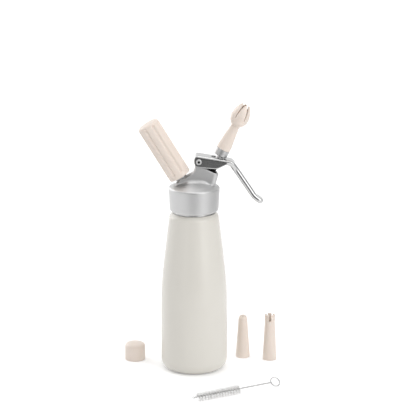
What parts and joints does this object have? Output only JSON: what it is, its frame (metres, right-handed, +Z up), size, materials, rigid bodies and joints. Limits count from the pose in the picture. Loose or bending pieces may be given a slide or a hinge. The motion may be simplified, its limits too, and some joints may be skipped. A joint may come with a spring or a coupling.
{
  "type": "whipped cream dispenser",
  "caption": "Upright round cream siphon: painted bottle, cast head with charger holder, hinged lever over a slanted valve with a petal nozzle; spare nozzles, cap and brush.",
  "frame": {"origin": "centre of the bottle's flat base, on the surface it stands on", "axes": "+Z up along the bottle's axis, +X towards the side the lever and nozzle lean to, -Y towards the viewer"},
  "size_m": [0.1883, 0.1832, 0.3295],
  "materials": {
    "painted_bottle": "smooth off-white paint, satin",
    "silicone": "translucent pale silicone",
    "cast_aluminium": "tumbled satin casting",
    "machined_aluminium": "turned, fine rings",
    "stainless": "turned stainless steel",
    "black_rubber": "matt black",
    "charger_steel": "drawn steel, bright zinc",
    "beige_plastic": "moulded, soft sheen",
    "nylon": "pale nylon bristles"
  },
  "bodies": {
    "bottle": {"bottle": "painted_bottle"},
    "head": {"head_body": "cast_aluminium", "charger_neck": "machined_aluminium", "neck_washer": "silicone", "piercing_pin": "stainless", "pin_seal": "black_rubber", "inlet_valve": "black_rubber", "gland_nut": "machined_aluminium", "pivot_screw": "stainless", "pivot_sleeve": "stainless", "valve_spring": "stainless"},
    "gasket": {"head_gasket": "silicone"},
    "holder": {"charger_holder": "beige_plastic", "gas_charger": "charger_steel"},
    "lever": {"lever": "cast_aluminium"},
    "valve": {"valve_stem": "stainless", "stem_o_ring": "black_rubber", "thrust_collar": "machined_aluminium", "valve_seal": "black_rubber", "valve_nut": "stainless"},
    "adapter": {"nozzle_adapter": "machined_aluminium", "adapter_o_ring": "black_rubber"},
    "fitted_nozzle": {"tulip_nozzle": "beige_plastic"},
    "neck_cap": {"neck_cap": "beige_plastic"},
    "star_nozzle": {"star_nozzle": "beige_plastic"},
    "crown_nozzle": {"crown_nozzle": "beige_plastic"},
    "brush": {"brush_wire": "stainless", "brush_bristles": "nylon"}
  },
  "joints": [
    {"name": "head_lift", "type": "slide", "parent": "bottle", "child": "head", "axis": [0, 0, 1], "range_m": [0, 0.0617]},
    {"name": "gasket_lift", "type": "slide", "parent": "bottle", "child": "gasket", "axis": [0, 0, 1], "range_m": [0, 0.01852]},
    {"name": "holder_slide", "type": "slide", "parent": "head", "child": "holder", "axis": [-0.5225, 0, 0.8526], "range_m": [0, 0.036]},
    {"name": "lever_hinge", "type": "hinge", "parent": "head", "child": "lever", "pos_m": [0.0056, 0, 0.25995], "axis": [0, 1, 0], "range_deg": [0, 10.2], "stiffness_Nm_per_rad": 1, "springref_deg": -17.19},
    {"name": "valve_slide", "type": "slide", "parent": "head", "child": "valve", "axis": [-0.454, 0, -0.891], "range_m": [0, 0.0035], "deforming": ["valve_spring"]},
    {"name": "adapter_slide", "type": "slide", "parent": "valve", "child": "adapter", "axis": [0.454, 0, 0.891], "range_m": [0, 0.009]},
    {"name": "nozzle_slide", "type": "slide", "parent": "adapter", "child": "fitted_nozzle", "axis": [0.454, 0, 0.891], "range_m": [0, 0.0275]},
    {"name": "neck_cap_lift", "type": "slide", "parent": "bottle", "child": "neck_cap", "axis": [0, 0, 1], "range_m": [0, 0.299]},
    {"name": "star_nozzle_lift", "type": "slide", "parent": "bottle", "child": "star_nozzle", "axis": [-0.0589, 0, 0.9983], "range_m": [0, 0.3736]},
    {"name": "crown_nozzle_lift", "type": "slide", "parent": "bottle", "child": "crown_nozzle", "axis": [0, 0, 1], "range_m": [0, 0.333]},
    {"name": "brush_lift", "type": "slide", "parent": "bottle", "child": "brush", "axis": [0, 0, 1], "range_m": [0, 0.02]}
  ],
  "couplings": [
    {"joint": "gasket_lift", "follows": "head_lift", "ratio": 0.3},
    {"joint": "valve_slide", "follows": "lever_hinge", "m_per_rad": 0.01965}
  ]
}
